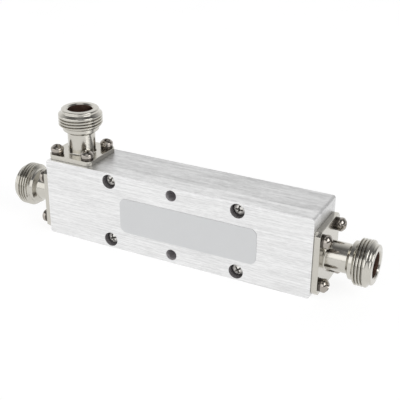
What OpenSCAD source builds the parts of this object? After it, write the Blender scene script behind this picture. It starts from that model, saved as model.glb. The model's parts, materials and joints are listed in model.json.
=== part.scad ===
// Directional coupler: a milled two-piece body that holds two coupled line bars,
// with three threaded coaxial sockets. The body stands on its long bottom face.
// X runs from the input to the output, Y from the cover to the back, Z is up.
// The origin is at the middle of the body's bottom face. All sizes are in millimetres.

/* [Body] */
// Length of the body, from the input end to the output end
body_l = 102; // [98:0.5:130]
// Depth of the body, from the cover's face to the back
body_d = 20; // [19.5:0.1:26]
// Height of the body
body_h = 29; // [28.5:0.1:36]
// Thickness of the front cover
cover_t = 6; // [5.6:0.1:6.5]
// Rounding of the body's four corners, seen from the front
corner_r = 1; // [0.2:0.1:2]

/* [Pocket] */
// Depth of the pocket that is milled into the housing from the seam
pocket_depth = 8; // [7.4:0.1:8.4]
// Wall between the pocket and each end of the body
end_wall = 4; // [3:0.1:6]
// Wall between the pocket and the top or the bottom of the body
rail_h = 6.5; // [6:0.1:7]
// Radius that the cutter leaves in the pocket's corners
cutter_r = 2.5; // [1:0.1:3]

/* [Line bars] */
// Thickness of both line bars, from front to back
bar_t = 2; // [1.8:0.1:2.6]
// Height of both line bars
bar_h = 2.2; // [2:0.1:2.6]
// Gap between the main bar and the coupled bar
bar_gap = 1.8; // [1.4:0.1:2.2]
// Gap between each end of the main bar and the pocket's end wall
bar_end_gap = 0.5; // [0.3:0.1:1.5]
// Distance of each bar support from the end of the body that is nearer to it
support_inset = 31; // [24:0.5:38]
// Length of a bar support along the bars
support_l = 4; // [3:0.5:8]
// Support material above and below the bars
support_lip = 2.5; // [1.5:0.1:3]

/* [Ports] */
// Distance of the coupled port's axis from the input end
coupled_inset = 9; // [9:0.1:14]
// Width of the coupled port's square flange
top_flange = 17.8; // [17.4:0.1:18]
// Screw spacing on the coupled port's flange
top_pitch = 12.7; // [12.4:0.1:12.8]
// Width of the end flanges, from front to back
end_flange_w = 18.8; // [18:0.1:19.4]
// Height of the end flanges
end_flange_h = 23; // [22:0.1:23.6]
// Screw spacing on the end flanges, from front to back
end_pitch_w = 13.8; // [13:0.1:14]
// Screw spacing on the end flanges, along the height
end_pitch_h = 16; // [15:0.1:16.4]
// Thickness of the coupled port's flange
top_flange_t = 1.8; // [1.6:0.1:2.4]
// Thickness of the end flanges
end_flange_t = 2.1; // [1.6:0.1:3]
// Corner chamfer of every flange
flange_chamfer = 1.4; // [0.5:0.1:1.6]

/* [Socket shell] */
// Diameter of the neck behind the thread
neck_d = 9.9; // [9.4:0.1:10.2]
// Length of the neck in front of the flange
neck_l = 7.4; // [6:0.1:8]
// Diameter of the ring between the neck and the thread
ring_d = 13; // [12:0.1:14]
// Length of the cone from the neck to the ring
cone_l = 1; // [0.6:0.1:1.6]
// Length of the ring
ring_l = 1.2; // [0.6:0.1:2]
// Outside diameter of the coupling thread
thread_d = 15.7; // [15.4:0.1:16]
// Length of the slope from the ring up to the thread
lead_l = 0.9; // [0.5:0.1:1.3]
// Length of the thread
thread_l = 3.8; // [3:0.1:5]
// Length of the bevel from the thread to the nose
bevel_l = 0.8; // [0.6:0.1:1.2]
// Diameter of the nose in front of the thread
nose_d = 13.5; // [13:0.1:14]
// Length of the nose
nose_l = 1.1; // [1:0.1:2.4]
// Break of the rim's outer edge
rim_break = 0.4; // [0.2:0.05:0.6]
// Diameter of the socket's bore
socket_d = 8.8; // [8.4:0.1:9]
// Depth of the socket's bore
socket_depth = 9.1; // [8.5:0.1:10]
// Chamfer at the socket's mouth
mouth_chamfer = 0.45; // [0.2:0.05:0.8]
// Diameter of the insulator inside the shell
bead_d = 7; // [6.6:0.1:7.2]
// Length of the insulator inside the shell
bead_l = 7.4; // [6:0.1:8]
// Diameter of the insulator inside the body's wall
bush_d = 6; // [5.4:0.1:6.2]

/* [Spring contact] */
// Diameter of the contact's socket end
contact_d = 3; // [2.8:0.1:3.2]
// Distance of the contact's end below the shell's rim
contact_recess = 5; // [4.6:0.1:5.6]
// Diameter of the contact's bore for a mating pin
contact_bore_d = 1.66; // [1.6:0.02:1.8]
// Depth of the contact's bore and slots
contact_slot_l = 4; // [3:0.1:4.4]
// Width of the contact's slots
contact_slot_w = 0.36; // [0.2:0.02:0.5]
// Diameter of the contact's tail inside the insulator
tail_d = 1.8; // [1.6:0.1:2]
// Diameter of the tip that is soldered into a bar
tip_d = 1.2; // [1:0.1:1.2]
// Length of the tip
tip_l = 3; // [2:0.1:3.2]

/* [Fasteners] */
// Thread diameter of the cover and flange screws
screw_d = 2.5; // [2.3:0.1:2.6]
// Head diameter of the cover and flange screws
head_d = 4.7; // [4.3:0.1:4.8]
// Head height of the cover and flange screws
head_h = 2.3; // [2:0.1:2.5]
// Clearance hole for those screws
clear_d = 2.9; // [2.7:0.1:3]
// Length of the flange screws below the flange
flange_screw_l = 4.8; // [4:0.1:5.2]
// Thickness of the lock washers
washer_t = 1; // [0.7:0.1:1.2]
// Outside diameter of the lock washers
washer_d = 4.4; // [4:0.1:4.6]
// Angle of the gap in a lock washer
washer_gap_angle = 14; // [6:1:24]

/* [Cover screws and mounting holes] */
// Spacing of the cover screws along the body
cover_pitch_x = 49.2; // [46:0.1:56]
// Spacing of cover screws and mounting holes over the height
cover_pitch_z = 22.6; // [22.4:0.1:23]
// Diameter of the counterbores in the cover
counterbore_d = 5.2; // [5:0.1:5.4]
// Depth of the counterbores in the cover
counterbore_depth = 3.4; // [3:0.1:4]
// Length of the cover screws below the head
cover_screw_l = 8; // [6:0.1:10]
// Diameter of the two mounting holes through the body
mount_hole_d = 4; // [3.4:0.1:4.2]

/* [Termination] */
// Distance of the termination from the output end of the body
load_inset = 15; // [14:0.1:19]
// Length of the termination's flange
load_flange_l = 13; // [12:0.1:14]
// Width of the termination's flange
load_flange_w = 5; // [4.5:0.1:6]
// Thickness of the termination's flange
load_flange_t = 1.5; // [1.2:0.1:1.8]
// Screw spacing on the termination's flange
load_pitch = 9; // [8.6:0.1:9.4]
// Side of the square resistor chip
chip_w = 4; // [3:0.1:4.4]
// Thickness of the resistor chip
chip_t = 1; // [0.8:0.1:1.2]
// Thickness of the solder tab under the chip
tab_t = 0.2; // [0.1:0.05:0.3]
// Thread diameter of the termination's screws
load_screw_d = 2; // [1.6:0.1:2.2]
// Head diameter of the termination's screws
load_head_d = 3.6; // [3:0.1:3.8]
// Head height of the termination's screws
load_head_h = 1.2; // [1:0.1:1.4]
// Length of the termination's screws below the head
load_screw_l = 5; // [4:0.1:6]

/* [Label] */
// Length of the bare label
label_l = 52.2; // [30:0.1:56]
// Height of the bare label
label_h = 13.1; // [8:0.1:14]
// Thickness of the label's foil
label_t = 0.15; // [0.1:0.05:0.3]
// Rounding of the label's corners
label_r = 2.5; // [0.5:0.1:4]
// Offset of the label's middle from the middle of the front face, along the body
label_dx = 5.7; // [-6:0.1:10]
// Offset of the label's middle below the middle of the front face
label_drop = 0.45; // [-1:0.05:1]

/* [Fits] */
// Radial clearance of pins, beads and screws in their holes
fit = 0.05; // [0.02:0.01:0.1]

/* [Hidden] */
$fn = 72;

// Planes of the body
half_l = body_l / 2;
front_y = -body_d / 2;
back_y = body_d / 2;
seam_y = front_y + cover_t;
floor_y = seam_y + pocket_depth;
mid_z = body_h / 2;
pocket_x = half_l - end_wall;
ceiling_z = body_h - rail_h;

// The two bars lie in the pocket's middle plane, above and below the body's mid-height
axis_y = seam_y + pocket_depth / 2;
main_z = mid_z - (bar_gap + bar_h) / 2;
coupled_z = mid_z + (bar_gap + bar_h) / 2;
coupled_x = coupled_inset - half_l;
support_x = half_l - support_inset;
load_x = half_l - load_inset;
main_half = pocket_x - bar_end_gap;
leg_top_z = ceiling_z - load_flange_t - chip_t - tab_t;
coupled_tail_gap = ceiling_z - leg_top_z;
leg_w = bar_h;
bend_cut = bar_h * 0.6;

// Stations along a socket's axis, from its flange's front face to the rim
cone_end = neck_l + cone_l;
ring_end = cone_end + ring_l;
thread_start = ring_end + lead_l;
thread_end = thread_start + thread_l;
bevel_end = thread_end + bevel_l;
rim = bevel_end + nose_l;
socket_floor = rim - socket_depth;
contact_end = rim - contact_recess;
base_fillet = 0.5;

// Screw places
cover_x = cover_pitch_x / 2;
hole_z = cover_pitch_z / 2;
tap_extra = 0.6;
cover_tap_l = counterbore_depth + cover_screw_l + tap_extra - cover_t;
load_tap_l = load_screw_l + tap_extra - load_flange_t;
cut = 1;
washer_bore_d = screw_d + 4 * fit;
dome_share = 0.55;
recess_l = 0.58;
recess_w = 0.17;
recess_depth = 0.55;
cover_screw_turn = 20;
flange_screw_turn = 30;
load_screw_turn = 45;

// Colours
aluminium = [0.86, 0.86, 0.87];
nickel = [0.74, 0.71, 0.65];
bright_nickel = [0.72, 0.70, 0.68];
dark_steel = [0.34, 0.32, 0.31];
gold = [0.83, 0.66, 0.30];
ptfe = [0.95, 0.95, 0.93];
silver_plate = [0.82, 0.82, 0.80];
alumina = [0.90, 0.89, 0.85];
label_grey = [0.83, 0.85, 0.86];

// A block between two corners whose four edges along Y are rounded
module slab(low, high, r) {
    size = high - low;
    translate(low) {
        translate([r, 0, 0]) cube([size.x - 2 * r, size.y, size.z]);
        translate([0, 0, r]) cube([size.x, size.y, size.z - 2 * r]);
        for (x = [r, size.x - r])
            for (z = [r, size.z - r])
                translate([x, 0, z]) rotate([-90, 0, 0]) cylinder(r = r, h = size.y);
    }
}

// Frames of the three ports: local Z points out of the body, local Y stays along Y
module at_input() {
    translate([-half_l, axis_y, main_z]) rotate([0, -90, 0]) children();
}
module at_output() {
    translate([half_l, axis_y, main_z]) rotate([0, 90, 0]) children();
}
module at_coupled() {
    translate([coupled_x, axis_y, body_h]) children();
}

// The four corners of a flange's screw pattern
module at_pattern(pitch) {
    for (x = [-0.5, 0.5])
        for (y = [-0.5, 0.5])
            translate([x * pitch.x, y * pitch.y, 0]) children();
}

// Patterns and flange sizes in the ports' own frames
end_pitch = [end_pitch_h, end_pitch_w];
coupled_pitch = [top_pitch, top_pitch];
end_flange = [end_flange_h, end_flange_w];
coupled_flange = [top_flange, top_flange];

// Places of the cover screws and of the mounting holes on the front face
module at_cover_screws() {
    for (x = [-cover_x, cover_x])
        for (z = [mid_z - hole_z, mid_z + hole_z])
            translate([x, front_y, z]) rotate([-90, 0, 0]) children();
}
module at_mount_holes() {
    for (z = [mid_z - hole_z, mid_z + hole_z])
        translate([0, front_y, z]) rotate([-90, 0, 0]) children();
}

// What every port takes out of the body: the insulator's hole and four tapped holes
module port_cuts(pitch, wall) {
    translate([0, 0, -wall - cut]) cylinder(d = bush_d + 2 * fit, h = wall + 2 * cut);
    at_pattern(pitch)
        translate([0, 0, -flange_screw_l - tap_extra])
            cylinder(d = screw_d + 2 * fit, h = flange_screw_l + tap_extra + cut);
}
module all_port_cuts() {
    at_input() port_cuts(end_pitch, end_wall);
    at_output() port_cuts(end_pitch, end_wall);
    at_coupled() port_cuts(coupled_pitch, rail_h);
}

// Cross recess in a screw's head, cut down from its top
module cross_recess(d, h) {
    for (turn = [0, 90])
        rotate([0, 0, turn])
            translate([-recess_l * d / 2, -recess_w * d / 2, h * (1 - recess_depth)])
                cube([recess_l * d, recess_w * d, h]);
}

// Pan-head screw: the head stands up from Z = 0 and the shank goes down
module pan_screw(d, hd, hh, length, turn) {
    rise = hh * dome_share;
    dome_r = (pow(hd / 2, 2) + pow(rise, 2)) / (2 * rise);
    difference() {
        intersection() {
            cylinder(d = hd, h = hh);
            translate([0, 0, hh - dome_r]) sphere(r = dome_r);
        }
        rotate([0, 0, turn]) cross_recess(hd, hh);
    }
    translate([0, 0, -length]) cylinder(d = d, h = length);
}

// Body
module rear_housing() {
    color(aluminium)
    difference() {
        slab([-half_l, seam_y, 0], [half_l, back_y, body_h], corner_r);
        slab([-pocket_x, seam_y - cut, rail_h], [pocket_x, floor_y, ceiling_z], cutter_r);
        all_port_cuts();
        at_cover_screws()
            translate([0, 0, cover_t - cut])
                cylinder(d = screw_d + 2 * fit, h = cover_tap_l + cut);
        at_mount_holes()
            translate([0, 0, cover_t - cut]) cylinder(d = mount_hole_d, h = body_d);
        at_load_screws()
            translate([0, 0, -cut]) cylinder(d = load_screw_d + 2 * fit, h = load_tap_l + cut);
    }
}
module front_cover() {
    color(aluminium)
    difference() {
        slab([-half_l, front_y, 0], [half_l, seam_y, body_h], corner_r);
        all_port_cuts();
        at_cover_screws() {
            translate([0, 0, -cut]) cylinder(d = counterbore_d, h = counterbore_depth + cut);
            cylinder(d = clear_d, h = cover_t + cut);
        }
        at_mount_holes()
            translate([0, 0, -cut]) cylinder(d = mount_hole_d, h = cover_t + 2 * cut);
    }
}
module cover_screws() {
    color(bright_nickel)
    at_cover_screws()
        translate([0, 0, counterbore_depth])
            rotate([180, 0, 0]) pan_screw(screw_d, head_d, head_h, cover_screw_l, cover_screw_turn);
}
module blank_label() {
    x = label_dx - label_l / 2;
    z = mid_z - label_drop - label_h / 2;
    color(label_grey)
    slab([x, front_y - label_t, z], [x + label_l, front_y, z + label_h], label_r);
}

// Socket shell, turned and milled from one piece: flange, neck, ring, thread, bevel and nose
module flange_outline(size) {
    c = flange_chamfer;
    x = size.x / 2;
    y = size.y / 2;
    polygon([
        [x, c - y], [x, y - c], [x - c, y], [c - x, y],
        [-x, y - c], [-x, c - y], [c - x, -y], [x - c, -y]
    ]);
}
module socket_shell(size, pitch, flange_t) {
    neck_r = neck_d / 2;
    ring_r = ring_d / 2;
    thread_r = thread_d / 2;
    nose_r = nose_d / 2;
    socket_r = socket_d / 2;
    bead_r = bead_d / 2 + fit;
    color(nickel)
    difference() {
        union() {
            linear_extrude(flange_t) flange_outline(size);
            translate([0, 0, flange_t])
                rotate_extrude()
                    polygon([
                        [0, -flange_t], [neck_r + base_fillet, -flange_t],
                        [neck_r + base_fillet, 0], [neck_r, base_fillet], [neck_r, neck_l],
                        [ring_r, cone_end], [ring_r, ring_end],
                        [thread_r, thread_start], [thread_r, thread_end], [nose_r, bevel_end],
                        [nose_r, rim - rim_break], [nose_r - rim_break, rim], [0, rim]
                    ]);
        }
        translate([0, 0, flange_t])
            rotate_extrude()
                polygon([
                    [0, -flange_t - cut], [bead_r, -flange_t - cut],
                    [bead_r, socket_floor], [socket_r, socket_floor], [socket_r, rim - mouth_chamfer],
                    [socket_r + mouth_chamfer + cut, rim + cut], [0, rim + cut]
                ]);
        at_pattern(pitch) translate([0, 0, -cut]) cylinder(d = clear_d, h = flange_t + 2 * cut);
    }
}
module input_shell() { at_input() socket_shell(end_flange, end_pitch, end_flange_t); }
module output_shell() { at_output() socket_shell(end_flange, end_pitch, end_flange_t); }
module coupled_shell() { at_coupled() socket_shell(coupled_flange, coupled_pitch, top_flange_t); }

// Insulator: a bead inside the shell and a bush through the body's wall, drilled for the tail
module insulator(wall) {
    color(ptfe)
    difference() {
        union() {
            cylinder(d = bead_d, h = bead_l);
            translate([0, 0, -wall]) cylinder(d = bush_d, h = wall);
        }
        translate([0, 0, -wall - cut]) cylinder(d = tail_d + 2 * fit, h = wall + bead_l + 2 * cut);
    }
}
module input_insulator() { at_input() insulator(end_wall); }
module output_insulator() { at_output() insulator(end_wall); }
module coupled_insulator() { at_coupled() insulator(rail_h); }

// Spring contact: a slotted tube in the socket, a tail through the insulator and a tip for its bar
module spring_contact(tail_l, flange_t) {
    front = flange_t + contact_end;
    color(gold)
    difference() {
        union() {
            translate([0, 0, bead_l]) cylinder(d = contact_d, h = front - bead_l);
            translate([0, 0, -tail_l]) cylinder(d = tail_d, h = tail_l + bead_l);
            translate([0, 0, -tail_l - tip_l]) cylinder(d = tip_d, h = tip_l);
        }
        translate([0, 0, front - contact_slot_l])
            cylinder(d = contact_bore_d, h = contact_slot_l + cut);
        for (turn = [0, 90])
            rotate([0, 0, turn])
                translate([-contact_d, -contact_slot_w / 2, front - contact_slot_l])
                    cube([2 * contact_d, contact_slot_w, contact_slot_l + cut]);
    }
}
module input_contact() { at_input() spring_contact(end_wall + bar_end_gap, end_flange_t); }
module output_contact() { at_output() spring_contact(end_wall + bar_end_gap, end_flange_t); }
module coupled_contact() { at_coupled() spring_contact(rail_h + coupled_tail_gap, top_flange_t); }

// Flange screws with split lock washers under their heads
module flange_screws(pitch, flange_t) {
    grip = flange_t + washer_t;
    color(bright_nickel)
    at_pattern(pitch)
        translate([0, 0, grip])
            pan_screw(screw_d, head_d, head_h, flange_screw_l + grip, flange_screw_turn);
}
module lock_washers(pitch, flange_t) {
    color(dark_steel)
    at_pattern(pitch)
        translate([0, 0, flange_t])
            rotate_extrude(angle = 360 - washer_gap_angle)
                translate([washer_bore_d / 2, 0])
                    square([(washer_d - washer_bore_d) / 2, washer_t]);
}
module input_flange_screws() { at_input() flange_screws(end_pitch, end_flange_t); }
module output_flange_screws() { at_output() flange_screws(end_pitch, end_flange_t); }
module coupled_flange_screws() { at_coupled() flange_screws(coupled_pitch, top_flange_t); }
module input_lock_washers() { at_input() lock_washers(end_pitch, end_flange_t); }
module output_lock_washers() { at_output() lock_washers(end_pitch, end_flange_t); }
module coupled_lock_washers() { at_coupled() lock_washers(coupled_pitch, top_flange_t); }

// Line bars
module tip_hole() {
    translate([0, 0, -tip_l - 2 * fit]) cylinder(d = tip_d + 2 * fit, h = tip_l + 2 * fit + cut);
}
module main_line_bar() {
    color(silver_plate)
    difference() {
        translate([-main_half, axis_y - bar_t / 2, main_z - bar_h / 2]) cube([2 * main_half, bar_t, bar_h]);
        at_input() translate([0, 0, -end_wall - bar_end_gap]) tip_hole();
        at_output() translate([0, 0, -end_wall - bar_end_gap]) tip_hole();
    }
}
module coupled_line_bar() {
    left = coupled_x - leg_w / 2;
    right = load_x + leg_w / 2;
    low = coupled_z - bar_h / 2;
    high = coupled_z + bar_h / 2;
    color(silver_plate)
    difference() {
        translate([0, axis_y + bar_t / 2, 0])
            rotate([90, 0, 0])
                linear_extrude(bar_t)
                    polygon([
                        [left + bend_cut, low], [right - bend_cut, low], [right, low + bend_cut],
                        [right, leg_top_z], [right - leg_w, leg_top_z], [right - leg_w, high],
                        [left + leg_w, high], [left + leg_w, leg_top_z],
                        [left, leg_top_z], [left, low + bend_cut]
                    ]);
        at_coupled() translate([0, 0, leg_top_z - body_h]) tip_hole();
    }
}

// Bar support: a block across the pocket with a window for each bar
module bar_support(x) {
    low = main_z - bar_h / 2 - support_lip;
    high = coupled_z + bar_h / 2 + support_lip;
    color(ptfe)
    difference() {
        translate([x - support_l / 2, seam_y + fit, low])
            cube([support_l, pocket_depth - 2 * fit, high - low]);
        for (z = [main_z, coupled_z])
            translate([x - support_l, axis_y - bar_t / 2 - fit, z - bar_h / 2 - fit])
                cube([2 * support_l, bar_t + 2 * fit, bar_h + 2 * fit]);
    }
}
module left_bar_support() { bar_support(-support_x); }
module right_bar_support() { bar_support(support_x); }

// Termination under the pocket's ceiling
module at_load() {
    translate([load_x, axis_y, ceiling_z]) children();
}
module at_load_screws() {
    at_load()
        for (side = [-0.5, 0.5])
            translate([side * load_pitch, 0, 0]) children();
}
module hung_plate(l, w, t, drop) {
    translate([-l / 2, -w / 2, -drop - t]) cube([l, w, t]);
}
module load_flange() {
    color(silver_plate)
    difference() {
        at_load() hung_plate(load_flange_l, load_flange_w, load_flange_t, 0);
        at_load_screws()
            translate([0, 0, -load_flange_t - cut])
                cylinder(d = load_screw_d + 4 * fit, h = load_flange_t + 2 * cut);
    }
}
module load_chip() {
    color(alumina)
    at_load() hung_plate(chip_w, chip_w, chip_t, load_flange_t);
}
module load_tab() {
    color(silver_plate)
    at_load() hung_plate(leg_w, bar_t, tab_t, load_flange_t + chip_t);
}
module load_screws() {
    color(bright_nickel)
    at_load_screws()
        translate([0, 0, -load_flange_t])
            rotate([180, 0, 0])
                pan_screw(load_screw_d, load_head_d, load_head_h, load_screw_l, load_screw_turn);
}

rear_housing();
front_cover();
cover_screws();
blank_label();
input_shell();
output_shell();
coupled_shell();
input_insulator();
output_insulator();
coupled_insulator();
input_contact();
output_contact();
coupled_contact();
input_flange_screws();
output_flange_screws();
coupled_flange_screws();
input_lock_washers();
output_lock_washers();
coupled_lock_washers();
main_line_bar();
coupled_line_bar();
left_bar_support();
right_bar_support();
load_flange();
load_chip();
load_tab();
load_screws();
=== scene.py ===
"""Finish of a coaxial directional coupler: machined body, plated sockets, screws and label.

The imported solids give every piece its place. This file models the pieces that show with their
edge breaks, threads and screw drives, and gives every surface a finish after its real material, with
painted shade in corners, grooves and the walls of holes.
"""

import json
import math

import bmesh
import bpy
from bpy.props import FloatProperty, FloatVectorProperty, IntProperty, PointerProperty
from mathutils import Matrix, Vector


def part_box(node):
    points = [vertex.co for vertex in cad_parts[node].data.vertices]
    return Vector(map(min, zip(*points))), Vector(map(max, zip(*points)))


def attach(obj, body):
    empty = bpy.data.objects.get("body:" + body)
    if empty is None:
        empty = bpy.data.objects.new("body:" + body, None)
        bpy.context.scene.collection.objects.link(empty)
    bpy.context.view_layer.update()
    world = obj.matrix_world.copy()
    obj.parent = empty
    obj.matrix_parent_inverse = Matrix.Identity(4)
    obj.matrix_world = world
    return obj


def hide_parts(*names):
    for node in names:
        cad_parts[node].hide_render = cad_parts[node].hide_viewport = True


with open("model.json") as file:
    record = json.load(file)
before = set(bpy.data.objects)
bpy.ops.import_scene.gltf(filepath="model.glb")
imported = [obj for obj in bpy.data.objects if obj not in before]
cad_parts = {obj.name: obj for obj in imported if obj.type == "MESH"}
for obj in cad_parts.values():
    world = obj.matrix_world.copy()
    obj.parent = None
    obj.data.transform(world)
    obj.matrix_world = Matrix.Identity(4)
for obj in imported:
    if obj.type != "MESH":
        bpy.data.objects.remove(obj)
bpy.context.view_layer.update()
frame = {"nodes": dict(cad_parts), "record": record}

bl_info = {
    "name": "Directional Coupler",
    "version": (1, 0, 0),
    "blender": (4, 5, 0),
    "location": "3D View > Sidebar > Coupler",
    "description": "Models and finishes the pieces of a coaxial directional coupler",
    "category": "Object",
}

MM = 0.001
BODY = "root"
PORTS = ("input", "output", "coupled")
MOUNTS = {mount["name"]: mount for mount in frame["record"]["mounts"]}
UP = Vector((0, 0, 1))
BACK = Vector((0, 1, 0))
# Axes by number, for the edges that run along the body's depth or upwards
ALONG_DEPTH = 1
ALONG_HEIGHT = 2
SMOOTH_ANGLE = math.radians(35)
MERGE_DISTANCE = 0.001 * MM
# How far a cutting tool starts and ends outside the piece
CUT_EXTRA = 1 * MM
# Faces round a hole, a tapped hole and a screw
HOLE_SIDES = 64
TAP_SIDES = 32
SCREW_SIDES = 48
# Faces round a corner of the body or the pocket
CORNER_STEPS = 6
# Turns in degrees at which the screws of a flange and of the cover came to rest
FLANGE_SCREW_TURNS = (25, 70, 50, 10)
COVER_SCREW_TURNS = (20, 60, 35, 80)
# Colour sockets of a Mix node, which has sockets of the same names for its other kinds
MIX_A = 6
MIX_B = 7
MIX_RESULT = 2
# Energy of an area light for each square metre and unit of radiance
ENERGY_PER_RADIANCE = 4
# Colour of the painted shade that plated pieces get in their corners, grooves and recesses
SHADE_COLOUR = "#2A2420"


def linear(code):
    """The linear colour of an sRGB hex value."""
    values = [int(code[i : i + 2], 16) / 255 for i in (1, 3, 5)]
    return tuple(v / 12.92 if v <= 0.04045 else ((v + 0.055) / 1.055) ** 2.4 for v in values)


def colour(name, description, code):
    """A colour property whose default is an sRGB hex value."""
    return FloatVectorProperty(
        name=name, description=description, subtype="COLOR", size=3, min=0, max=1, default=linear(code)
    )


def length(name, description, millimetres):
    """A length property whose default is given in millimetres."""
    return FloatProperty(
        name=name, description=description, default=millimetres * MM, unit="LENGTH", precision=5
    )


def angle(name, description, degrees):
    """An angle property whose default is given in degrees."""
    return FloatProperty(
        name=name, description=description, subtype="ANGLE", default=math.radians(degrees)
    )


class CouplerBodySettings(bpy.types.PropertyGroup):
    """Sizes and colours of the housing and the cover"""

    corner_radius: length("Corner radius", "Rounding of the body's corners, seen from the front", 1.0)
    edge_break: length("Edge break", "Bevel on the milled edges of the body", 0.18)
    pocket_end_wall: length("Pocket end wall", "Wall between the pocket and an end of the body", 4.0)
    pocket_rail: length("Pocket rail", "Wall between the pocket and the top or bottom", 6.5)
    pocket_depth: length("Pocket depth", "Depth of the pocket from the seam", 8.0)
    pocket_radius: length("Pocket radius", "Radius of the cutter in the pocket's corners", 2.5)
    bush_radius: length("Bush hole radius", "Radius of the hole for an insulator in the body's wall", 3.05)
    tap_radius: length("Tapped hole radius", "Radius of the holes that the screws turn into", 1.3)
    tap_extra: length("Tapped hole extra", "Depth of a tapped hole past the end of its screw", 0.6)
    load_tap_radius: length("Load hole radius", "Radius of the tapped holes of the termination", 1.05)
    counterbore_radius: length("Counterbore radius", "Radius of the cover screws' counterbores", 2.6)
    counterbore_depth: length("Counterbore depth", "Depth of the cover screws' counterbores", 3.4)
    clearance_radius: length("Clearance radius", "Radius of the screw holes below the heads", 1.45)
    housing: colour("Housing", "Brushed aluminium of the housing", "#DADADA")
    cover: colour("Cover", "Brushed aluminium of the cover", "#E8E8E8")
    # Painted shade: an even grey for the walls of the mounting holes, standing in for the shade inside them
    drilled: colour("Drilled walls", "Dull walls of the drilled holes", "#BAB7B9")
    # Painted shade: a dark grey for the walls of the counterbores, standing in for the shade round the sunk
    # screws
    bored: colour("Bored walls", "Shaded walls of the counterbores", "#777476")


class CouplerLabelSettings(bpy.types.PropertyGroup):
    """Sizes and colour of the label"""

    corner_radius: length("Corner radius", "Rounding of the label's corners", 2.5)
    edge_break: length("Edge break", "Rounding of the foil's cut edge", 0.04)
    foil: colour("Foil", "Satin grey foil of the label", "#D1D2D3")


class CouplerSocketSettings(bpy.types.PropertyGroup):
    """Sizes and colours of the sockets, measured from the flange's face, and of what they hold"""

    neck_radius: length("Neck radius", "Radius of the neck behind the thread", 4.95)
    base_fillet: length("Base fillet", "Fillet between the flange and the neck", 0.5)
    neck_end: length("Neck end", "End of the neck, from the flange's face", 7.4)
    neck_fillet: length("Neck fillet", "Fillet between the neck and the cone", 0.25)
    cone_end: length("Cone end", "End of the cone behind the ring", 8.4)
    ring_radius: length("Ring radius", "Radius of the ring behind the thread", 6.5)
    ring_end: length("Ring end", "End of the ring, where the slope up to the thread starts", 9.6)
    thread_start: length("Thread start", "Start of the full thread", 10.5)
    thread_end: length("Thread end", "End of the thread, where the bevel starts", 14.3)
    thread_depth: length("Thread depth", "Depth of the coupling thread", 0.6)
    thread_pitch: length("Thread pitch", "Pitch of the coupling thread, 24 turns to the inch", 1.058)
    band_width: length("Band width", "Width of the plain band at the front of the thread", 0.45)
    bevel_end: length("Bevel end", "End of the bevel between thread and nose", 15.1)
    nose_radius: length("Nose radius", "Radius of the nose", 6.75)
    rim_radius: length("Rim rounding", "Rounding of the rim's outer edge", 0.5)
    bevel_radius: length("Bevel rounding", "Rounding between the bevel and its neighbours", 0.5)
    ring_rounding: length("Ring rounding", "Rounding of the ring's edges", 0.25)
    thread_rounding: length("Thread rounding", "Rounding at the thread's ends", 0.1)
    socket_radius: length("Socket radius", "Radius of the socket's bore", 4.4)
    socket_depth: length("Socket depth", "Depth of the socket's bore", 9.1)
    mouth: length("Mouth chamfer", "Chamfer at the socket's mouth", 0.45)
    bead_radius: length("Bead hole radius", "Radius of the bore that holds the insulator", 3.55)
    hole_radius: length("Screw hole radius", "Radius of the flange's screw holes", 1.45)
    flange_chamfer: length("Flange chamfer", "Chamfer of the flange's corners", 1.4)
    edge_break: length("Edge break", "Bevel on the turned and milled edges", 0.14)
    sides: IntProperty(
        name="Turning sides", description="Faces round a turned piece", default=112, min=48, max=160
    )
    nickel: colour("Nickel", "Bright nickel plating of the sockets", "#C6C3BB")
    inside: colour("Inside", "Dulled nickel inside the sockets", "#8F776B")
    gold: colour("Gold", "Gold plating of the spring contacts", "#E2B868")
    ptfe: colour("PTFE", "White insulator", "#F1F1EC")


class CouplerFastenerSettings(bpy.types.PropertyGroup):
    """Sizes and colours of the screws and lock washers"""

    head_radius: length("Head radius", "Radius of a screw's head", 2.35)
    head_height: length("Head height", "Height of a screw's head", 2.3)
    dome_rise: length("Dome rise", "Height of the head's domed part", 1.265)
    shank_radius: length("Shank radius", "Radius of a screw's shank", 1.25)
    tip_chamfer: length("Tip chamfer", "Chamfer at a shank's end", 0.3)
    drive_span: length("Drive span", "Span of the cross recess at the head's top", 3.4)
    drive_width: length("Drive width", "Width of the recess's arms at the head's top", 0.8)
    drive_depth: length("Drive depth", "Depth of the cross recess", 1.4)
    drive_taper: FloatProperty(
        name="Drive taper", description="Size of the recess at its floor, as a share", default=0.4
    )
    edge_break: length("Edge break", "Bevel on the edges of screws and washers", 0.07)
    washer_radius: length("Washer radius", "Outside radius of a lock washer", 2.2)
    washer_bore: length("Washer bore", "Inside radius of a lock washer", 1.35)
    washer_gap: angle("Washer gap", "Angle of the gap in a lock washer", 14)
    steel: colour("Plated steel", "Nickel-plated steel of the screws", "#A8A29B")
    zinc: colour("Zinc", "Zinc plating of the cover screws", "#FAF8F4")
    spring_steel: colour("Spring steel", "Dark spring steel of the lock washers", "#5A5550")


class CouplerLineSettings(bpy.types.PropertyGroup):
    """Colours of the lines and the termination"""

    silver: colour("Silver", "Silver plating of the line bars", "#E6E3DB")
    alumina: colour("Alumina", "White ceramic of the resistor chip", "#ECEAE2")


class CouplerStageSettings(bpy.types.PropertyGroup):
    """Floor and camera"""

    acrylic: colour("Floor", "Opal acrylic of the light table", "#7A7A7A")
    glow: FloatProperty(
        name="Floor glow", description="Light that the table gives off", default=0.86
    )
    lens: FloatProperty(
        name="Focal length", description="Camera's focal length in millimetres", default=77.26
    )
    yaw: angle("Yaw", "Turn of the camera about the vertical", -26.934)
    pitch: angle("Pitch", "Tilt of the camera below the horizon", 25.634)
    roll: angle("Roll", "Turn of the camera about its own axis", 0.389)
    place: FloatVectorProperty(
        name="Camera place", description="Place of the camera", unit="LENGTH",
        default=(0.12666, -0.23758, 0.14928),
    )


# Modelling steps


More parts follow.
